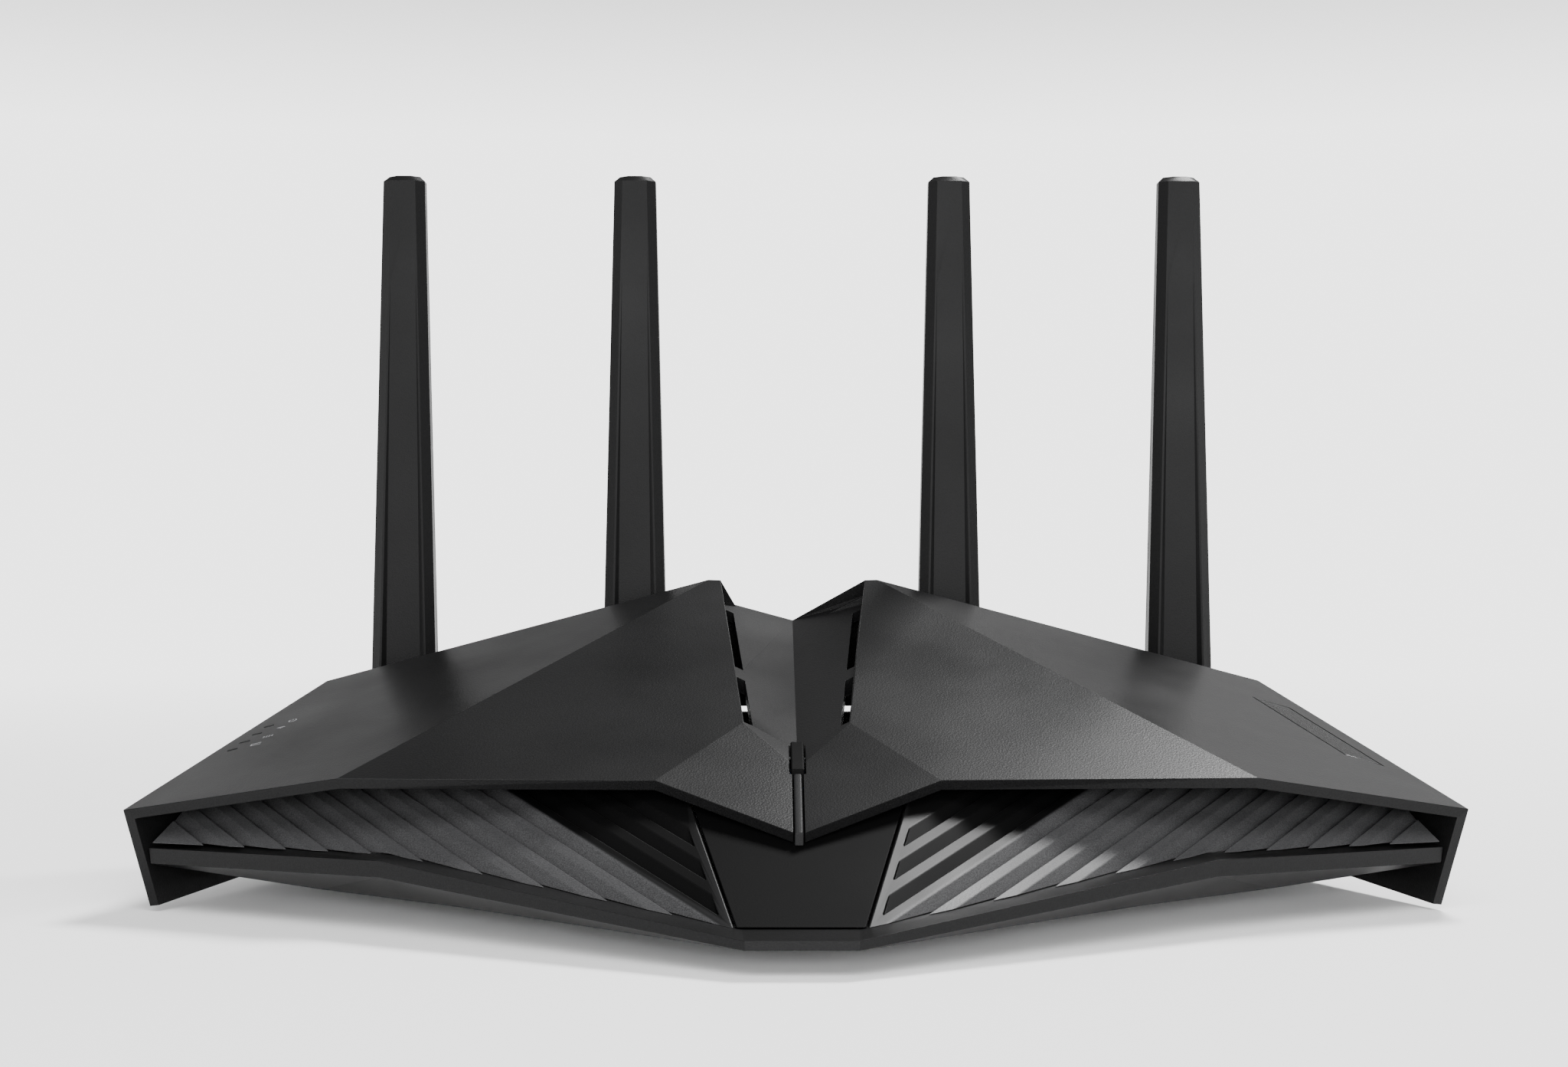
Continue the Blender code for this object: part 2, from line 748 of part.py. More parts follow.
def make_board():
    low = (-BOARD_HALF, BOARD_FRONT, BOARD_Z)
    board = box(low, (BOARD_HALF, BOARD_BACK, BOARD_Z + BOARD_THICKNESS))
    piece("main_board", board, BOARD_GREEN)
    z = BOARD_TOP
    middle = (HEATSINK_FRONT + HEATSINK_BACK) / 2
    chips = {
        "processor": ((-9, middle - 9), (9, middle + 9), 1.5, CHIP),
        "memory_chip": ((-30, middle - 6), (-17, middle + 4), 1.1, CHIP),
        "radio_shield_left": ((-74, BOARD_FRONT + 6), (-40, SHIELD_BACK), 3.2, STEEL),
        "radio_shield_right": ((40, BOARD_FRONT + 6), (74, SHIELD_BACK), 3.2, STEEL),
    }
    for name, (low, high, tall, finish) in chips.items():
        piece(name, box((*low, z), (*high, z + tall)), finish)
    pad_low = z + 1.5 + GAP
    pad = box((-8, middle - 8, pad_low), (8, middle + 8, pad_low + 1.0))
    piece("thermal_pad", pad, PAD_BLUE)
    make_heatsink(pad_low + 1.0 + GAP)


def make_heatsink(z):
    """A plate with a row of fins."""
    half = (FIN_COUNT - 1) / 2 * FIN_PITCH
    side = half + FIN_THICKNESS / 2 + 1.0
    plate = box((-side, HEATSINK_FRONT, z), (side, HEATSINK_BACK, z + 2.2))
    obj = piece("heatsink", plate, ALUMINIUM)
    fins = []
    for i in range(FIN_COUNT):
        x = i * FIN_PITCH - half
        low = (x - FIN_THICKNESS / 2, HEATSINK_FRONT + 1, z + 1.0)
        fins.append(box(low, (x + FIN_THICKNESS / 2, HEATSINK_BACK - 1, z + FIN_HEIGHT)))
    fuse(obj, merged(*fins))


def make_light_boards():
    """A strip of lamps behind each ribbed panel."""
    start_y = FASCIA_DEPTH + 1.4
    for name, side in (("left", -1), ("right", 1)):
        face = []
        for x, z in ((34, 15.6), (104, 15.6), (104, 19.6), (34, 19.6)):
            y = depth_at(FASCIA, x, z) + start_y
            face.append(Vector(mirrored((x, y, z), side)))
        back = [point + Vector((0, 1.6, 0)) for point in face]
        piece(f"light_board_{name}", loft([face, back]), BOARD_GREEN)


# ---------------------------------------------------------------- rear


def socket_cutters(centres, z_low):
    found = []
    half = SOCKET_WIDTH / 2
    for x in centres:
        low = (x - half, JACK_FACE - SOCKET_DEPTH, z_low + 2.4)
        found.append(box(low, (x + half, JACK_FACE + 1, z_low + 2.4 + SOCKET_HEIGHT)))
    return found


def lan_centres():
    return [LAN_LEFT + 7.9 + i * LAN_PITCH for i in range(LAN_COUNT)]


def jack_spans():
    """(name, low x, high x, low z, high z) of what shows through the rear panel."""
    z = BOARD_TOP
    lan_width = LAN_PITCH * (LAN_COUNT - 1) + 15.8
    return [
        ("lan_jack_block", LAN_LEFT, LAN_LEFT + lan_width, z, z + JACK_HEIGHT),
        ("wan_jack", WAN_X - JACK_WIDTH / 2, WAN_X + JACK_WIDTH / 2, z, z + JACK_HEIGHT),
        ("usb_jack", USB_X - 7.2, USB_X + 7.2, z, z + 7.4),
        ("dc_inlet", DC_X - 4.6, DC_X + 4.6, z, z + 11.0),
    ]


def make_jacks():
    finishes = {
        "lan_jack_block": YELLOW_JACK,
        "wan_jack": BLUE_JACK,
        "usb_jack": STEEL,
        "dc_inlet": DARK_PANEL,
    }
    for name, low_x, high_x, low_z, high_z in jack_spans():
        body = box((low_x, JACK_BACK, low_z), (high_x, JACK_FACE, high_z))
        obj = piece(name, body, finishes[name])
        if name == "lan_jack_block":
            cut(obj, merged(*socket_cutters(lan_centres(), low_z)))
        elif name == "wan_jack":
            cut(obj, merged(*socket_cutters([WAN_X], low_z)))
        elif name == "usb_jack":
            hollow = box(
                (low_x + 0.8, JACK_FACE - 15, low_z + 0.8),
                (high_x - 0.8, JACK_FACE + 1, high_z - 0.8),
            )
            cut(obj, hollow)
            tongue_z = high_z - 2.9
            low = (low_x + 1.6, JACK_FACE - 16, tongue_z)
            fuse(obj, box(low, (high_x - 1.6, JACK_FACE - 2, tongue_z + 1.6)))
        else:
            z = (low_z + high_z) / 2
            hole = cylinder((DC_X, JACK_FACE - 10, z), (DC_X, JACK_FACE + 1, z), 3.2, 24)
            cut(obj, hole)
            start = (DC_X, JACK_FACE - 11, z)
            fuse(obj, cylinder(start, (DC_X, JACK_FACE - 1.5, z), 1.0, 12))


def antenna_places():
    return {
        "outer_left": -ANTENNA_OUTER_X,
        "inner_left": -ANTENNA_INNER_X,
        "inner_right": ANTENNA_INNER_X,
        "outer_right": ANTENNA_OUTER_X,
    }


def make_rear_panel():
    low = (-PANEL_HALF, PANEL_BACK - PANEL_THICKNESS, PANEL_LOW)
    panel = box(low, (PANEL_HALF, PANEL_BACK, PANEL_TOP))
    obj = piece("rear_panel", panel, BLACK_SHELL)
    # A tongue behind the cover's edge closes the seam above the sockets
    inner = PANEL_BACK - PANEL_THICKNESS
    tongue_back = inner - TONGUE_CLEARANCE
    tongue_front = tongue_back - TONGUE_THICKNESS
    root = PANEL_TOP - TONGUE_ROOT
    root_end = (TONGUE_HALF, inner + PANEL_THICKNESS / 2, PANEL_TOP - 0.5)
    rise_end = (TONGUE_HALF, tongue_back, REAR_EDGE_HEIGHT + TONGUE_RISE)
    fuse(obj, box((-TONGUE_HALF, tongue_front, root), root_end))
    fuse(obj, box((-TONGUE_HALF, tongue_front, root), rise_end))
    y_low = inner - 1
    y_high = PANEL_BACK + 1
    openings = []
    for _, low_x, high_x, low_z, high_z in jack_spans():
        start = (low_x - GAP, y_low, low_z - GAP)
        openings.append(box(start, (high_x + GAP, y_high, high_z + GAP)))
    for x, radius, _, _ in BUTTONS.values():
        start = (x, y_low, BUTTON_Z)
        openings.append(cylinder(start, (x, y_high, BUTTON_Z), radius + BUTTON_CLEARANCE, 20))
    for x in antenna_places().values():
        start = (x, y_low, HINGE_Z)
        openings.append(cylinder(start, (x, y_high, HINGE_Z), STUB_R + STUB_CLEARANCE, 20))
    cut(obj, merged(*openings))


def make_buttons():
    """Each button slides through the rear panel onto its switch on the board."""
    inner = PANEL_BACK - PANEL_THICKNESS
    for name, (x, radius, stand, travel) in BUTTONS.items():
        tip = PANEL_BACK + stand
        cap = cylinder((x, inner - 1.2, BUTTON_Z), (x, tip, BUTTON_Z), radius, 20)
        obj = piece(name, cap, DARK_PANEL, (x, PANEL_BACK, BUTTON_Z))
        start = (x, inner - BUTTON_BODY, BUTTON_Z)
        end = (x, inner - BUTTON_CLEARANCE, BUTTON_Z)
        fuse(obj, cylinder(start, end, radius + 1.0, 20))
        switch = name.replace("button", "switch")
        back = inner - BUTTON_BODY - travel - 0.3
        low = (x - 3.4, back - 6.0, BOARD_TOP)
        piece(switch, box(low, (x + 3.4, back, BUTTON_Z + 3.0)), STEEL)


# ---------------------------------------------------------------- antennas


def blade_half(z):
    """Half the blade's width at a height."""
    low = HINGE_Z + KNUCKLE_R
    share = (z - low) / (OVERALL_HEIGHT - low)
    return BLADE_ROOT_HALF + (BLADE_TIP_HALF - BLADE_ROOT_HALF) * share


def blade_depths(z):
    """The blade's front and back y at a height: it thins towards the tip."""
    low = HINGE_Z + KNUCKLE_R
    share = (z - low) / (OVERALL_HEIGHT - low)
    front = HINGE_Y - BLADE_FRONT_OFFSET + 0.9 * share
    back = HINGE_Y - BLADE_FRONT_OFFSET + BLADE_THICKNESS - 1.3 * share
    return front, back


def blade_section(x, z, trim=0.0, front_cut=None, back_cut=None):
    """The blade's outline at a height, chamfered at the front and a little at the back."""
    half = blade_half(z) - trim
    front, back = blade_depths(z)
    front += trim
    chamfer = BLADE_CHAMFER
    small = 0.8
    points = [
        (half - chamfer, front),
        (half, front + chamfer),
        (half, back - small),
        (half - small, back),
    ]
    if front_cut is not None:
        points = [(half, back - front_cut), (half, back - small), (half - small, back)]
    loop = [(x + px, py, z) for px, py in points]
    return loop + [(x - px, py, z) for px, py in reversed(points)]


def cavity(x):
    """The hollow that holds the antenna element, open at the back."""
    loops = []
    for z in (BACK_PLATE_LOW + 1.5, OVERALL_HEIGHT - 5):
        half = blade_half(z) - 2.0
        front, back = blade_depths(z)
        low = front + 2.6
        high = back + 2
        loops.append([(x - half, low, z), (x + half, low, z), (x + half, high, z), (x - half, high, z)])
    return loft(loops)


def back_slab(x):
    """The room that the back plate takes out of the blade."""
    loops = []
    for z in (BACK_PLATE_LOW, OVERALL_HEIGHT + 5):
        half = BLADE_ROOT_HALF + 3
        _, back = blade_depths(z)
        low = back - BACK_PLATE - GAP
        high = back + 3
        loops.append([(x - half, low, z), (x + half, low, z), (x + half, high, z), (x - half, high, z)])
    return loft(loops)


def front_recess(x):
    """A shallow wedge in the front face that deepens towards the root."""
    points = []
    for z, depth in ((RECESS_TOP, 0.02), (HINGE_Z + KNUCKLE_R + 3, RECESS_DEPTH)):
        front, _ = blade_depths(z)
        half = blade_half(z) - BLADE_CHAMFER - 0.45
        for sign in (-1, 1):
            points.append((x + sign * (half + 0.6), front - 0.6, z))
            points.append((x + sign * (half - 1.2 * depth), front + depth, z))
    return hull(points)


def make_antenna(name, x):
    root = HINGE_Z + KNUCKLE_R
    tip = OVERALL_HEIGHT
    hinge = (x, HINGE_Y, HINGE_Z)
    top = blade_section(x, tip, TIP_CHAMFER)
    loops = [blade_section(x, root), blade_section(x, tip - TIP_CHAMFER), top]
    shell = piece(f"antenna_shell_{name}", loft(loops), BLACK_SHELL, hinge)
    ear_in = TONGUE_HALF + EAR_GAP
    front, back = blade_depths(root)
    for sign in (-1, 1):
        points = []
        for px in (ear_in, BLADE_ROOT_HALF):
            spot = x + sign * px
            for i in range(20):
                angle = 2 * math.pi * i / 20
                y = HINGE_Y + KNUCKLE_R * math.cos(angle)
                z = HINGE_Z + KNUCKLE_R * math.sin(angle)
                points.append((spot, min(y, BACK), z))
            for y in (front + BLADE_CHAMFER, back - 0.8):
                points.append((spot, y, root + 0.6))
        fuse(shell, hull(points))
    wide = BLADE_ROOT_HALF + 2
    start = (x - wide, HINGE_Y, HINGE_Z)
    cut(shell, cylinder(start, (x + wide, HINGE_Y, HINGE_Z), PIN_R + 0.1, 16))
    cut(shell, back_slab(x))
    cut(shell, cavity(x))
    cut(shell, front_recess(x))

    loops = []
    for z, trim in ((BACK_PLATE_LOW + GAP, 0), (tip - TIP_CHAMFER, 0), (tip, TIP_CHAMFER)):
        loops.append(blade_section(x, z, trim, front_cut=BACK_PLATE))
    piece(f"antenna_back_{name}", loft(loops), BLACK_SHELL, hinge)

    front, _ = blade_depths(root)
    low = (x - 2.4, front + 4.2, BACK_PLATE_LOW + 5)
    piece(f"antenna_element_{name}", box(low, (x + 2.4, front + 5.0, tip - 9)), BOARD_GREEN, hinge)

    start = (x - BLADE_ROOT_HALF + 0.3, HINGE_Y, HINGE_Z)
    end = (x + BLADE_ROOT_HALF - 0.3, HINGE_Y, HINGE_Z)
    piece(f"hinge_pin_{name}", cylinder(start, end, PIN_R, 16), STEEL, hinge)
    make_collar(name, x)


def make_collar(name, x):
    """The swivelling base: a collar outside the panel, its stub and flange, and a tongue."""
    start_y = REAR + COLLAR_START
    end_y = start_y + COLLAR_LENGTH
    inner = PANEL_BACK - PANEL_THICKNESS
    body = cylinder((x, start_y, HINGE_Z), (x, end_y, HINGE_Z), COLLAR_R, 28)
    obj = piece(f"antenna_collar_{name}", body, BLACK_SHELL, (x, REAR, HINGE_Z))
    start = (x, inner - 3.0, HINGE_Z)
    fuse(obj, cylinder(start, (x, start_y + 1, HINGE_Z), STUB_R, 20))
    end = (x, inner - 0.6, HINGE_Z)
    fuse(obj, cylinder(start, end, STUB_R + 1.4, 20))
    points = []
    round_r = KNUCKLE_R - 1.0
    for px in (-TONGUE_HALF, TONGUE_HALF):
        for i in range(20):
            angle = 2 * math.pi * i / 20
            y = HINGE_Y + round_r * math.cos(angle)
            points.append((x + px, y, HINGE_Z + round_r * math.sin(angle)))
        for dz in (-5.4, 5.4):
            points.append((x + px, end_y - 1, HINGE_Z + dz))
    fuse(obj, hull(points))
    start = (x - 10, HINGE_Y, HINGE_Z)
    cut(obj, cylinder(start, (x + 10, HINGE_Y, HINGE_Z), PIN_R + PIN_CLEARANCE, 16))


def main():
    make_cover()
    make_badge()
    make_bottom()
    make_screws()
    make_feet()
    make_fascia()
    make_light_strip()
    make_light_pipe()
    make_board()
    make_light_boards()
    make_jacks()
    make_rear_panel()
    make_buttons()
    for name, x in antenna_places().items():
        make_antenna(name, x)


main()
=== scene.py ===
import json
import math

import bmesh
import bpy
from mathutils import Matrix, Vector
from mathutils.bvhtree import BVHTree


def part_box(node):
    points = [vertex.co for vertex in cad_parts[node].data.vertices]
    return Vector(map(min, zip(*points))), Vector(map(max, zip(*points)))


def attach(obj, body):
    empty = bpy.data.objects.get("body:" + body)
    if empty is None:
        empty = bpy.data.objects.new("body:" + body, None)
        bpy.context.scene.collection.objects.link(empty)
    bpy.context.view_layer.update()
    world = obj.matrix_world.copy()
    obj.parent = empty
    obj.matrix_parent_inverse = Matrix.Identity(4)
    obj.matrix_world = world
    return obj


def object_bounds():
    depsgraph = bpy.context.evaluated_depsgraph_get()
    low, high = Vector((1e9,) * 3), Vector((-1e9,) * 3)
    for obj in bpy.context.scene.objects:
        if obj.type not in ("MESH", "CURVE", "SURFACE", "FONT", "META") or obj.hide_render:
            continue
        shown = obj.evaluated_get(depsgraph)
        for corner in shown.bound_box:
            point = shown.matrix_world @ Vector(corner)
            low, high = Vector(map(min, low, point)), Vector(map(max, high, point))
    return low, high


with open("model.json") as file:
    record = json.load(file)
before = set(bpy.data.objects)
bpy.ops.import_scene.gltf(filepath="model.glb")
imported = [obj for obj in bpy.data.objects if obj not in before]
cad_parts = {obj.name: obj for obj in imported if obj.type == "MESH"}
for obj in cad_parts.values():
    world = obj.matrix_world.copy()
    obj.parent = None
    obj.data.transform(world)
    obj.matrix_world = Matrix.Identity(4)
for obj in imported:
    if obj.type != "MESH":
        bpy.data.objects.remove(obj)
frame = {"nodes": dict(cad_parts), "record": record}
CAD_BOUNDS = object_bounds()

MM = 0.001
NODES = frame["nodes"]
SLOT_OF = {row["node"]: row["material_slot"] for row in frame["record"]["subparts"]}

# Camera, at the photograph's viewing angle
CAMERA_PLACE = (-0.00614, -0.5147, 0.0788)
CAMERA_PITCH = -0.14
CAMERA_YAW = -0.40
CAMERA_LENS = 55.41

# Status marks, left wing: first slit's distance from the side and from the front, in mm
SLIT_FROM_SIDE = 15.75
SLIT_FROM_FRONT = 100.9
SLIT_PITCH = 4.65
SLIT_COUNT = 4
SLIT_SHIFT = 1.75
ICON_OFFSET = 5.1
ICON_SIZE = 2.3
ICON_THICKNESS = 0.02

# Network sockets
SOCKET_PITCH = 14.4
FIRST_SOCKET = 7.9
CONTACT_COUNT = 8
CONTACT_PITCH = 1.02
CONTACT_WIRE = 0.23

# Floor, in metres: its half size, how far it lies under the feet, and where it fades out
FLOOR_REACH = 6
FLOOR_DROP = 0.0002
FADE_START = 0.15
FADE_END = 0.9

# Backdrop: bright round the horizon, dim overhead. Levels are heights of the view direction
WORLD_STRENGTH = 3.2
OVERHEAD_SHARE = 0.08
BRIGHT_TO = 0.16
DIM_FROM = 0.28


# ---------------------------------------------------------------- materials


class Graph:
    """A material's node tree, with short calls for adding and joining nodes."""

    def __init__(self, name):
        self.material = bpy.data.materials.new(name)
        self.material.use_nodes = True
        self.tree = self.material.node_tree
        self.shader = self.tree.nodes["Principled BSDF"]
        self.place = self.add("ShaderNodeTexCoord").outputs["Object"]

    def add(self, kind, **inputs):
        node = self.tree.nodes.new(kind)
        for name, value in inputs.items():
            self.put(value, node.inputs[name.replace("_", " ")])
        return node

    def put(self, value, socket):
        if isinstance(value, bpy.types.NodeSocket):
            self.tree.links.new(value, socket)
        else:
            socket.default_value = value

    def noise(self, size_mm, detail=2.0, stretch=(1, 1, 1)):
        """Noise whose features are about this many millimetres across."""
        mapping = self.add("ShaderNodeMapping", Vector=self.place, Scale=stretch)
        node = self.add("ShaderNodeTexNoise", Vector=mapping.outputs[0], Detail=detail)
        node.inputs["Scale"].default_value = 1 / (size_mm * MM)
        return node.outputs["Fac"]

    def cells(self, size_mm):
        node = self.add("ShaderNodeTexVoronoi", Vector=self.place)
        node.inputs["Scale"].default_value = 1 / (size_mm * MM)
        return node.outputs["Distance"]

    def spread(self, value, low, high, out_low, out_high):
        """The value's low to high turned into out_low to out_high, and held there beyond."""
        node = self.add("ShaderNodeMapRange", Value=value)
        node.inputs["From Min"].default_value = low
        node.inputs["From Max"].default_value = high
        node.inputs["To Min"].default_value = out_low
        node.inputs["To Max"].default_value = out_high
        return node.outputs["Result"]

    def math(self, operation, a, b):
        node = self.tree.nodes.new("ShaderNodeMath")
        node.operation = operation
        self.put(a, node.inputs[0])
        self.put(b, node.inputs[1])
        return node.outputs[0]

    def mix(self, share, a, b):
        node = self.tree.nodes.new("ShaderNodeMix")
        node.data_type = "RGBA"
        self.put(share, node.inputs["Factor"])
        self.put(a, node.inputs["A"])
        self.put(b, node.inputs["B"])
        return node.outputs["Result"]

    def bump(self, height, depth_mm, strength=1.0, under=None):
        node = self.add("ShaderNodeBump", Height=height, Strength=strength)
        node.inputs["Distance"].default_value = depth_mm * MM
        if under is not None:
            self.put(under, node.inputs["Normal"])
        return node.outputs["Normal"]

    def below(self, point, normal):
        """1 under the plane, 0 on it and above."""
        offset = self.add("ShaderNodeVectorMath", Vector=self.place)
        offset.operation = "SUBTRACT"
        offset.inputs[1].default_value = point
        along = self.tree.nodes.new("ShaderNodeVectorMath")
        along.operation = "DOT_PRODUCT"
        self.put(offset.outputs["Vector"], along.inputs[0])
        along.inputs[1].default_value = normal
        return self.spread(along.outputs["Value"], -0.30 * MM, -0.08 * MM, 1, 0)

    def edge(self):
        """1 on convex edges, 0 on flat faces."""
        pointed = self.add("ShaderNodeNewGeometry").outputs["Pointiness"]
        return self.spread(pointed, 0.52, 0.62, 0.0, 1.0)

    def surface(self, colour, roughness, normal=None, metallic=0.0, shine=0.5):
        self.shader.inputs["Specular IOR Level"].default_value = shine
        self.put(colour, self.shader.inputs["Base Color"])
        self.put(roughness, self.shader.inputs["Roughness"])
        self.shader.inputs["Metallic"].default_value = metallic
        if normal is not None:
            self.put(normal, self.shader.inputs["Normal"])
        return self.material


def grey(value, tint=1.03):
    return (value, value, value * tint, 1)


def scaled(shade, k):
    return tuple(min(part * k, 1) for part in shade[:3]) + (1,)


PLASTIC_SHINE = 0.105


def moulded(
    name, shade, roughness, grain_mm=0.42, depth_mm=0.022, fleck=0.35, painted_edge_highlight=1.8, painted_recess=None, shine=None
):
    """Moulded plastic with a fine grain, cloudy gloss, glossier convex edges and a painted highlight that
    lightens their colour.

    The recess argument is (point, normal, shade): whatever lies below that plane is smoother and takes
    that darker colour, as painted shade in the hollows.
    """
    g = Graph(name)
    grain = g.cells(grain_mm)
    fine = g.noise(grain_mm * 0.6, 3)
    cloud = g.noise(38, 3)
    share = g.spread(fine, 0.35, 0.7, 0, 1)
    base = g.mix(share, scaled(shade, 1 - fleck), scaled(shade, 1 + fleck))
    strength = 0.8
    if painted_recess:
        # Below the plane the colour turns dark, as painted shade in the hollows, and the bump turns
        # smoother.
        floor = g.below(*painted_recess[:2])
        base = g.mix(floor, base, painted_recess[2])
        strength = g.spread(floor, 0, 1, 0.8, 0.15)
    # Convex edges are painted lighter, as a painted highlight.
    colour = g.mix(g.math("MULTIPLY", g.edge(), 0.6), base, scaled(shade, painted_edge_highlight))
    varied = g.spread(cloud, 0.3, 0.7, roughness - 0.05, roughness + 0.05)
    gloss = g.math("SUBTRACT", varied, g.math("MULTIPLY", g.edge(), 0.08))
    normal = g.bump(grain, depth_mm, strength, g.bump(fine, depth_mm * 0.5, 0.6))
    return g.surface(colour, gloss, normal, shine=PLASTIC_SHINE if shine is None else shine)


def smooth_plastic(name, shade, roughness, clearness=0.0):
    """Unpainted smooth plastic: faint flow marks and hairline scratches."""
    g = Graph(name)
    flow = g.noise(14, 2)
    scratch = g.noise(0.5, 2, (1, 9, 1))
    pale = tuple(min(part * 1.25 + 0.002, 1) for part in shade[:3]) + (1,)
    colour = g.mix(g.spread(flow, 0.3, 0.7, 0, 1), shade, pale)
    gloss = g.spread(scratch, 0.3, 0.75, roughness - 0.04, roughness + 0.08)
    made = g.surface(colour, gloss, g.bump(scratch, 0.006, 0.5))
    g.shader.inputs["Transmission Weight"].default_value = clearness
    return made


def metal(name, shade, roughness, stretch=(1, 14, 1)):
    """Rolled or drawn metal, brushed one way, with dull patches."""
    g = Graph(name)
    lines = g.noise(1.6, 4, stretch)
    dull = g.noise(9, 3)
    dark = tuple(part * 0.72 for part in shade[:3]) + (1,)
    colour = g.mix(g.spread(lines, 0.3, 0.7, 0, 1), dark, shade)
    gloss = g.spread(dull, 0.35, 0.7, roughness - 0.07, roughness + 0.12)
    return g.surface(colour, gloss, g.bump(lines, 0.012, 0.6), 1.0)


def circuit_board(name, shade, roughness):
    """Green mask over a faint pattern of tracks."""
    g = Graph(name)
    mapping = g.add("ShaderNodeMapping", Vector=g.place, Scale=(700, 420, 700))
    tracks = g.add("ShaderNodeTexVoronoi", Vector=mapping.outputs[0])
    tracks.distance = "CHEBYCHEV"
    tracks.feature = "F1"
    line = g.spread(tracks.outputs["Distance"], 0.30, 0.36, 0, 1)
    pale = tuple(min(part * 1.9, 1) for part in shade[:3]) + (1,)
    colour = g.mix(line, shade, pale)
    weave = g.noise(0.6, 2)
    gloss = g.spread(weave, 0.3, 0.7, roughness - 0.06, roughness + 0.06)
    return g.surface(colour, gloss, g.bump(line, 0.03, 0.7))


def rubber(name, shade, roughness):
    g = Graph(name)
    dust = g.noise(2.2, 4)
    pale = tuple(min(part * 2.2 + 0.01, 1) for part in shade[:3]) + (1,)
    colour = g.mix(g.spread(dust, 0.45, 0.75, 0, 0.6), shade, pale)
    gloss = g.spread(dust, 0.3, 0.7, roughness - 0.06, roughness)
    return g.surface(colour, gloss, g.bump(g.cells(0.5), 0.03, 0.6))


def face_plane(node):
    """A point on a node's largest upward face, and the face's normal."""
    faces = [face for face in NODES[node].data.polygons if face.normal.z > 0.3]
    largest = max(faces, key=lambda face: face.area)
    return largest.center.copy(), largest.normal.copy()


MATERIALS = {
    "shell_black": moulded("shell_black", grey(0.0050), 0.35),
    "antenna_black": moulded("antenna_black", grey(0.0030), 0.48, 0.36, 0.016, 0.25, shine=0.06),
    "panel_black": moulded("panel_black", grey(0.0015), 0.55, 0.3, 0.008, 0.2, 1.3, shine=0.03),
    "light_strip_grey": moulded("light_strip_grey", grey(0.010), 0.42, 0.3, 0.015, 0.18, 1.1, shine=0.06),
    "clear_pipe": smooth_plastic("clear_pipe", grey(0.55), 0.22, 0.5),
    "gloss_black": smooth_plastic("gloss_black", grey(0.006), 0.12),
    "circuit_board": circuit_board("circuit_board", (0.015, 0.075, 0.035, 1), 0.42),
    "chip_black": moulded("chip_black", grey(0.018), 0.52, 0.2, 0.01, 0.2),
    "sheet_steel": metal("sheet_steel", (0.55, 0.55, 0.56, 1), 0.30),
    "sink_aluminium": metal("sink_aluminium", (0.10, 0.10, 0.105, 1), 0.42, (1, 1, 12)),
    "thermal_blue": rubber("thermal_blue", (0.20, 0.32, 0.50, 1), 0.85),
    "foot_rubber": rubber("foot_rubber", grey(0.016), 0.90),
    "jack_yellow": smooth_plastic("jack_yellow", (0.55, 0.36, 0.03, 1), 0.40),
    "jack_blue": smooth_plastic("jack_blue", (0.03, 0.11, 0.42, 1), 0.40),
}
RIB_SHADE = grey(0.034)
# The channels between the ribs are painted near black. This is painted shade in the hollows; the ribs
# keep their own grey.
CHANNEL_PAINTED_SHADE = grey(0.0015)
RIBS = {}
for side in ("left", "right"):
    painted_channels = (*face_plane(f"ribbed_fascia_{side}"), CHANNEL_PAINTED_SHADE)
    RIBS[side] = moulded(f"ribs_{side}", RIB_SHADE, 0.42, painted_recess=painted_channels, shine=0.09)
PRINT = smooth_plastic("printed_pale", grey(0.16), 0.50)
GOLD = metal("contact_gold", (0.83, 0.60, 0.24, 1), 0.22)


# ---------------------------------------------------------------- CAD nodes


MANY_WINDOWS = ("lan_jack_block", "rear_panel", "usb_jack")
EDGE_SEGMENTS = 3
WELD_DISTANCE = 2e-6
FLAT_ANGLE = 0.6


def round_edges(obj, width_mm, angle):
    """Small rounded edges on a CAD node: its own mesh stays as it is under the modifiers."""
    bpy.context.view_layer.objects.active = obj
    bpy.ops.mesh.customdata_custom_splitnormals_clear()
    obj.data.shade_smooth()
    weld = obj.modifiers.new("joined_faces", "WELD")
    weld.merge_threshold = WELD_DISTANCE
    # A face with several windows in it can't become one polygon, so it stays as triangles
    if obj.name not in MANY_WINDOWS:
        flat = obj.modifiers.new("whole_faces", "DECIMATE")
        flat.decimate_type = "DISSOLVE"
        flat.angle_limit = math.radians(FLAT_ANGLE)
    bevel = obj.modifiers.new("rounded_edges", "BEVEL")
    bevel.width = width_mm * MM
    bevel.segments = EDGE_SEGMENTS
    bevel.limit_method = "ANGLE"
    bevel.angle_limit = math.radians(angle)
    bevel.miter_outer = "MITER_ARC"
    bevel.harden_normals = True
    even = obj.modifiers.new("even_shading", "WEIGHTED_NORMAL")
    even.keep_sharp = True


ROUNDING = {
    "top_cover": 0.7,
    "bottom_case": 0.6,
    "ribbed_fascia_left": 0.22,
    "ribbed_fascia_right": 0.22,
    "centre_panel": 0.3,
    "rear_panel": 0.25,
    "light_strip": 0.25,
    "light_strip_cap": 0.3,
    "badge_inlay": 0.15,
}
KIND_ROUNDING = {
    "antenna_shell": 0.35,
    "antenna_back": 0.25,
    "antenna_collar": 0.3,
    "rubber_foot": 0.4,
    "power_button": 0.35,
    "wps_button": 0.3,
    "lan_jack": 0.2,
    "wan_jack": 0.2,
    "radio_shield": 0.3,
}
PLAIN_ROUNDING = 0.12
FACETED = ("top_cover", "bottom_case", "ribbed_fascia_left", "ribbed_fascia_right", "badge_inlay")
FACET_ANGLE = 4
ROUND_ANGLE = 32


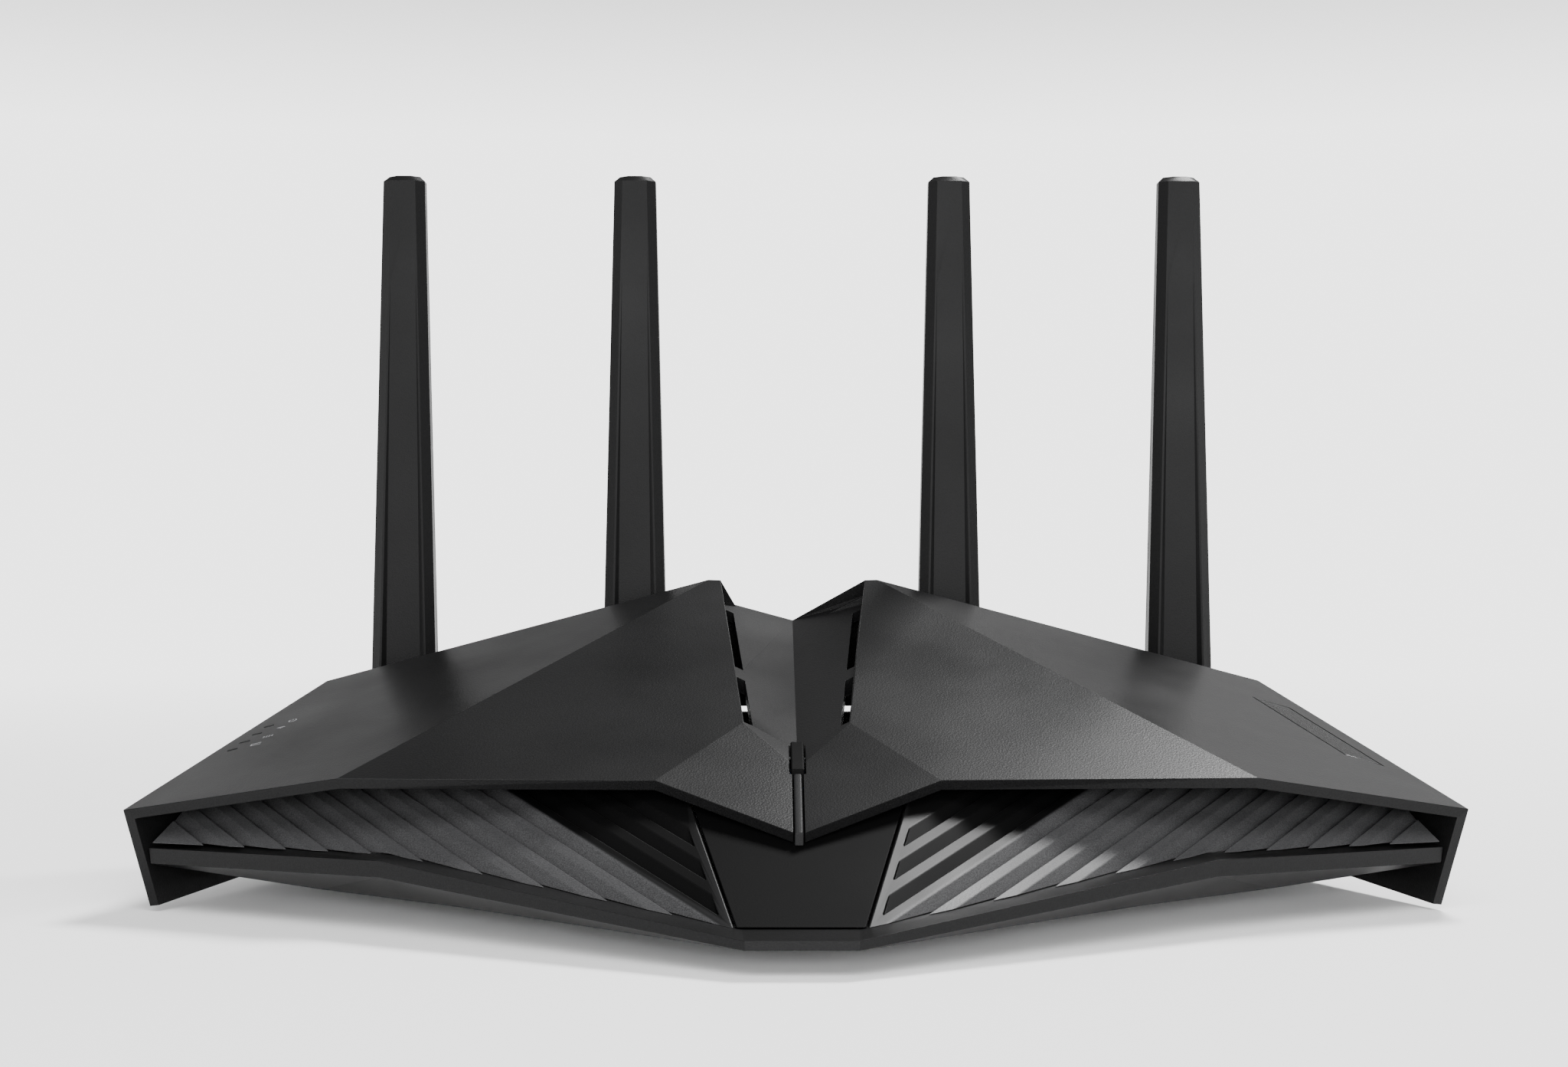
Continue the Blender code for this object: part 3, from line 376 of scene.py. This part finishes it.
def dress_nodes():
    for name, obj in NODES.items():
        obj.data.materials.clear()
        side = name.removeprefix("ribbed_fascia_")
        obj.data.materials.append(RIBS.get(side, MATERIALS[SLOT_OF[name]]))
        width = ROUNDING.get(name, PLAIN_ROUNDING)
        for kind, value in KIND_ROUNDING.items():
            if name.startswith(kind):
                width = value
        round_edges(obj, width, FACET_ANGLE if name in FACETED else ROUND_ANGLE)


# ---------------------------------------------------------------- added pieces


def surface_under(node):
    """A function that gives the point and normal of a node's top at a place seen from above."""
    mesh = NODES[node].data
    tree = BVHTree.FromPolygons(
        [v.co.copy() for v in mesh.vertices], [tuple(p.vertices) for p in mesh.polygons]
    )

    def at(x, y):
        point, normal, _, _ = tree.ray_cast(Vector((x, y, 1)), Vector((0, 0, -1)))
        return point, normal

    return at


def new_piece(name, bm, material, body):
    mesh = bpy.data.meshes.new(name)
    bmesh.ops.recalc_face_normals(bm, faces=bm.faces)
    bm.to_mesh(mesh)
    bm.free()
    obj = bpy.data.objects.new(name, mesh)
    bpy.context.scene.collection.objects.link(obj)
    mesh.materials.append(material)
    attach(obj, body)
    return obj


def prism(bm, outline, place, thickness):
    """A flat outline in local x and y, raised by a thickness and put in place."""
    low = [bm.verts.new(place @ Vector((x, y, 0))) for x, y in outline]
    high = [bm.verts.new(place @ Vector((x, y, thickness))) for x, y in outline]
    bm.faces.new(reversed(low))
    bm.faces.new(high)
    for i in range(len(outline)):
        j = (i + 1) % len(outline)
        bm.faces.new((low[i], low[j], high[j], high[i]))


def facet_place(point, normal):
    """A frame on a facet: local x level, local z out of the surface."""
    across = Vector((0, 1, 0)).cross(normal).normalized()
    up = normal.cross(across).normalized()
    turn = Matrix((across, up, normal)).transposed().to_4x4()
    return Matrix.Translation(point) @ turn


def bar(x, y, width, height):
    return [(x, y), (x + width, y), (x + width, y + height), (x, y + height)]


def arc_band(radius, width, start, end, steps=10):
    """A curved bar between two angles."""
    outline = []
    for r, order in ((radius + width, range(steps + 1)), (radius, range(steps, -1, -1))):
        for i in order:
            angle = math.radians(start + (end - start) * i / steps)
            outline.append((r * math.cos(angle), r * math.sin(angle)))
    return outline


def icon_shapes():
    """Four plain marks: a bracket, two dotted rows, an arc over a dot, and a dial."""
    line = 0.24
    wide = ICON_SIZE
    tall = ICON_SIZE * 0.62
    bracket = [
        bar(-wide / 2, -tall / 2, wide, line),
        bar(-wide / 2, tall / 2 - line, wide, line),
        bar(-wide / 2, -tall / 2 + line, line, tall - 2 * line),
    ]
    rows = [
        bar(-wide / 2 + i * 0.62, y, 0.34, 0.34) for i in range(4) for y in (-0.55, 0.2)
    ]
    waves = [arc_band(r, line, 35, 145) for r in (0.45, 0.95)]
    waves.append(bar(-0.14, -0.2, 0.28, 0.28))
    dial = [arc_band(0.75, line, -240, 60, 18), bar(-0.12, 0.3, line, 0.8)]
    return [bracket, rows, waves, dial]


def status_places():
    """Places of the status slits on the left wing, from the front one back."""
    low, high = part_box("top_cover")
    front = CAD_BOUNDS[0][1]
    for i in range(SLIT_COUNT):
        y = front + (SLIT_FROM_FRONT + i * SLIT_PITCH) * MM
        x = low.x + (SLIT_FROM_SIDE + i * SLIT_SHIFT) * MM
        yield x, y


def make_status_marks():
    """A small printed mark beside each slit."""
    top = surface_under("top_cover")
    for i, ((x, y), shapes) in enumerate(zip(status_places(), icon_shapes())):
        point, normal = top(x + ICON_OFFSET * MM, y)
        bm = bmesh.new()
        place = facet_place(point, normal)
        for outline in shapes:
            corners = [(px * MM, py * MM) for px, py in outline]
            prism(bm, corners, place, ICON_THICKNESS * MM)
        new_piece(f"status_mark_{i + 1}", bm, PRINT, "housing")


def make_contacts():
    """Eight sprung wires in the top of each network socket."""
    for node, count in (("lan_jack_block", 4), ("wan_jack", 1)):
        low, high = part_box(node)
        first = low.x + FIRST_SOCKET * MM if count > 1 else (low.x + high.x) / 2
        for i in range(count):
            centre = first + i * SOCKET_PITCH * MM
            bm = bmesh.new()
            for k in range(CONTACT_COUNT):
                x = centre + (k - (CONTACT_COUNT - 1) / 2) * CONTACT_PITCH * MM
                wire(bm, x, high.y, high.z)
            name = f"contacts_{node.split('_')[0]}_{i + 1}"
            new_piece(name, bm, GOLD, "housing")


def wire(bm, x, face_y, top_z):
    """One contact: a thin bent strip that leans down and in from the socket's roof."""
    half = CONTACT_WIRE * MM
    path = [(-3.0, -3.2), (-6.0, -4.0), (-10.5, -6.4), (-11.2, -6.9)]
    rings = []
    for dy, dz in path:
        y = face_y + dy * MM
        z = top_z + dz * MM
        corners = ((-half, -half), (half, -half), (half, half), (-half, half))
        rings.append([bm.verts.new((x + a, y, z + b)) for a, b in corners])
    for near, far in zip(rings, rings[1:]):
        for k in range(4):
            bm.faces.new((near[k], near[(k + 1) % 4], far[(k + 1) % 4], far[k]))
    bm.faces.new(rings[0])
    bm.faces.new(list(reversed(rings[-1])))


# ---------------------------------------------------------------- stage


def floor_material():
    """Matt and pale near the object, and fading into the bright backdrop further out."""
    g = Graph("pale_floor")
    tone = g.spread(g.noise(300, 2), 0.3, 0.7, 0.93, 0.94)
    combined = g.add("ShaderNodeCombineColor", Red=tone, Green=tone, Blue=tone)
    material = g.surface(combined.outputs[0], 0.9)
    tree = material.node_tree
    output = next(node for node in tree.nodes if node.type == "OUTPUT_MATERIAL")
    painted = output.inputs["Surface"].links[0].from_socket
    place = tree.nodes.new("ShaderNodeTexCoord").outputs["Object"]
    reach = tree.nodes.new("ShaderNodeVectorMath")
    reach.operation = "LENGTH"
    tree.links.new(place, reach.inputs[0])
    fade = tree.nodes.new("ShaderNodeMapRange")
    fade.interpolation_type = "SMOOTHSTEP"
    fade.inputs["From Min"].default_value = FADE_START
    fade.inputs["From Max"].default_value = FADE_END
    tree.links.new(reach.outputs["Value"], fade.inputs["Value"])
    clear = tree.nodes.new("ShaderNodeBsdfTransparent")
    blend = tree.nodes.new("ShaderNodeMixShader")
    tree.links.new(fade.outputs["Result"], blend.inputs[0])
    tree.links.new(painted, blend.inputs[1])
    tree.links.new(clear.outputs[0], blend.inputs[2])
    tree.links.new(blend.outputs[0], output.inputs["Surface"])
    return material


def make_floor():
    bm = bmesh.new()
    bmesh.ops.create_grid(bm, x_segments=1, y_segments=1, size=FLOOR_REACH)
    mesh = bpy.data.meshes.new("floor")
    bm.to_mesh(mesh)
    bm.free()
    floor = bpy.data.objects.new("floor", mesh)
    floor.location.z = CAD_BOUNDS[0][2] - FLOOR_DROP
    mesh.materials.append(floor_material())
    bpy.context.scene.collection.objects.link(floor)


def area_light(name, place, target, size, power):
    data = bpy.data.lights.new(name, "AREA")
    data.shape = "RECTANGLE"
    data.size, data.size_y = size
    data.energy = power
    obj = bpy.data.objects.new(name, data)
    obj.location = place
    obj.rotation_euler = (Vector(target) - Vector(place)).to_track_quat("-Z", "Y").to_euler()
    bpy.context.scene.collection.objects.link(obj)


def make_lights():
    world = bpy.data.worlds.new("studio")
    world.use_nodes = True
    background = world.node_tree.nodes["Background"]
    background.inputs["Color"].default_value = (1, 1, 1, 1)
    background.inputs["Strength"].default_value = WORLD_STRENGTH
    place = world.node_tree.nodes.new("ShaderNodeTexCoord").outputs["Generated"]
    split = world.node_tree.nodes.new("ShaderNodeSeparateXYZ")
    ramp = world.node_tree.nodes.new("ShaderNodeMapRange")
    world.node_tree.links.new(place, split.inputs[0])
    world.node_tree.links.new(split.outputs["Z"], ramp.inputs["Value"])
    ramp.inputs["From Min"].default_value = BRIGHT_TO
    ramp.inputs["From Max"].default_value = DIM_FROM
    ramp.inputs["To Min"].default_value = 1.0
    ramp.inputs["To Max"].default_value = OVERHEAD_SHARE
    world.node_tree.links.new(ramp.outputs["Result"], background.inputs["Color"])
    bpy.context.scene.world = world
    area_light("back_top", (0.50, 0.68, 1.28), (0.02, 0, 0.03), (0.42, 0.4), 40)
    area_light("front_top", (0.0, -1.3, 1.5), (0, 0.1, 0.0), (2.2, 1.2), 50)
    area_light("front_low", (0.1, -1.2, 0.25), (0, 0, 0.03), (1.2, 0.35), 18)


def make_camera():
    data = bpy.data.cameras.new("camera")
    data.lens = CAMERA_LENS
    data.sensor_width = 36
    data.clip_start = 0.01
    camera = bpy.data.objects.new("camera", data)
    camera.location = CAMERA_PLACE
    tilt = math.radians(90 + CAMERA_PITCH)
    camera.rotation_euler = (tilt, 0, math.radians(CAMERA_YAW))
    bpy.context.scene.collection.objects.link(camera)
    bpy.context.scene.camera = camera


make_camera()
dress_nodes()
make_status_marks()
make_contacts()
make_floor()
make_lights()
